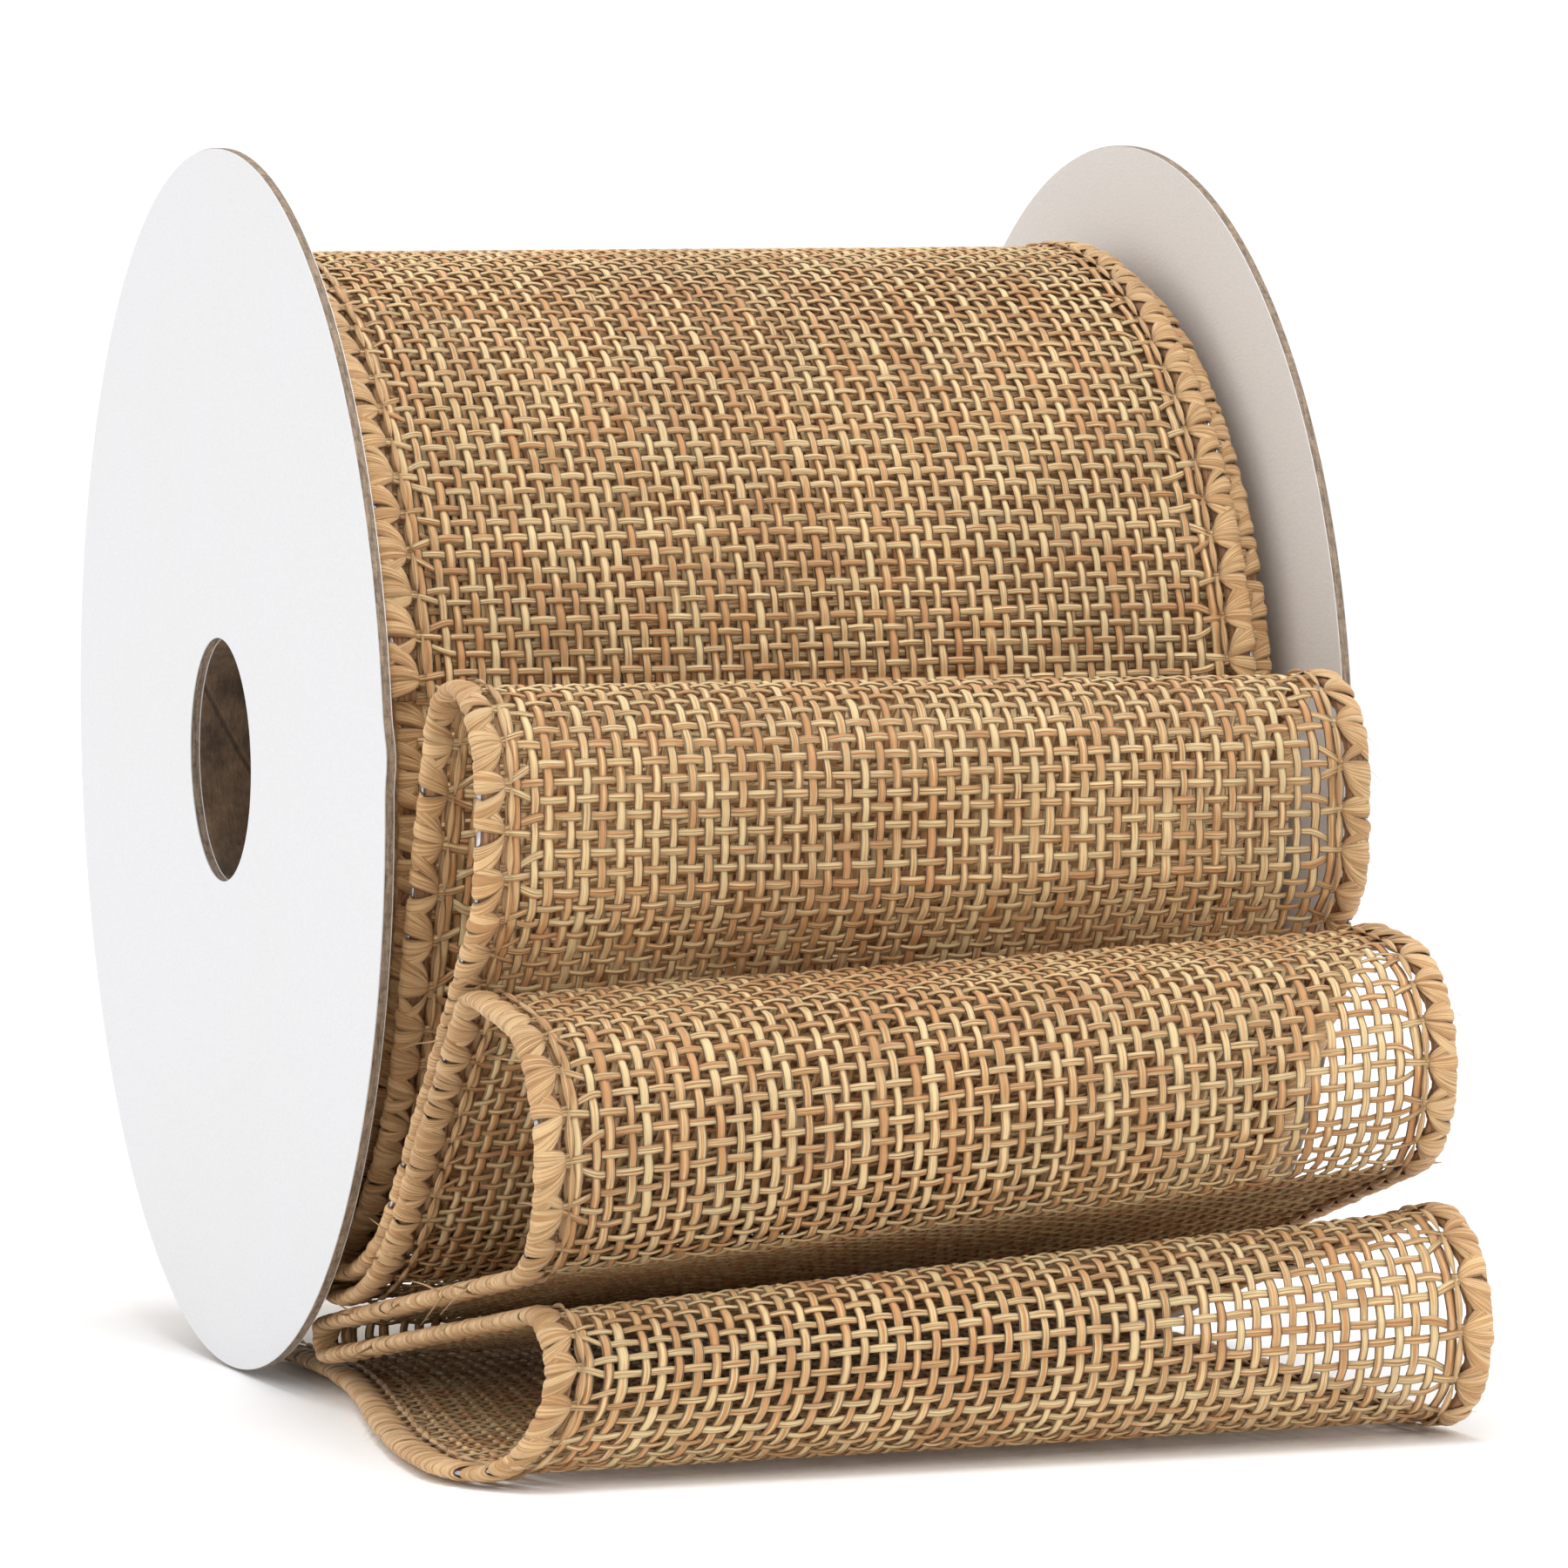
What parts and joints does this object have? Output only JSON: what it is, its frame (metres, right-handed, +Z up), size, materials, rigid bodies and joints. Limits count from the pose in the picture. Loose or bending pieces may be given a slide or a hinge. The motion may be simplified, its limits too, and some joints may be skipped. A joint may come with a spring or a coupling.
{
  "type": "ribbon spool",
  "caption": "Card-flanged spool of wide open-weave natural ribbon with wired edges, its tail folded into standing waves in front.",
  "frame": {"origin": "middle of the bore, on the spool axis", "axes": "+X along the spool axis towards the right flange, -Y towards the folded tail, +Z up"},
  "size_m": [0.101, 0.1711, 0.127],
  "materials": {
    "white_paper": "smooth uncoated white",
    "greyboard": "cut chipboard edge",
    "kraft": "spiral wound kraft",
    "adhesive": "clear amber glue",
    "tape": "thin clear tape",
    "burlap": "open plain weave of flat yarns",
    "edge_yarn": "overlocked soft yarn",
    "wire": "thin bendable wire"
  },
  "bodies": {
    "ribbon_tail": {"last_turn": "burlap", "wave_one": "burlap", "wave_two": "burlap", "wave_three": "burlap", "left_edge_cord": "edge_yarn", "left_edge_wire": "wire", "right_edge_cord": "edge_yarn", "right_edge_wire": "wire"},
    "spool": {"left_outer_paper": "white_paper", "left_board": "greyboard", "left_inner_paper": "white_paper", "right_outer_paper": "white_paper", "right_board": "greyboard", "right_inner_paper": "white_paper", "tube_inner_ply": "kraft", "tube_body": "kraft", "left_glue_bead": "adhesive", "right_glue_bead": "adhesive", "start_tape": "tape", "wound_left_edge": "edge_yarn", "wound_cloth": "burlap", "wound_right_edge": "edge_yarn"}
  },
  "joints": [
    {"name": "spool_turn", "type": "hinge", "parent": "ribbon_tail", "child": "spool", "pos_m": [0, 0, 0], "axis": [1, 0, 0], "continuous": true}
  ]
}
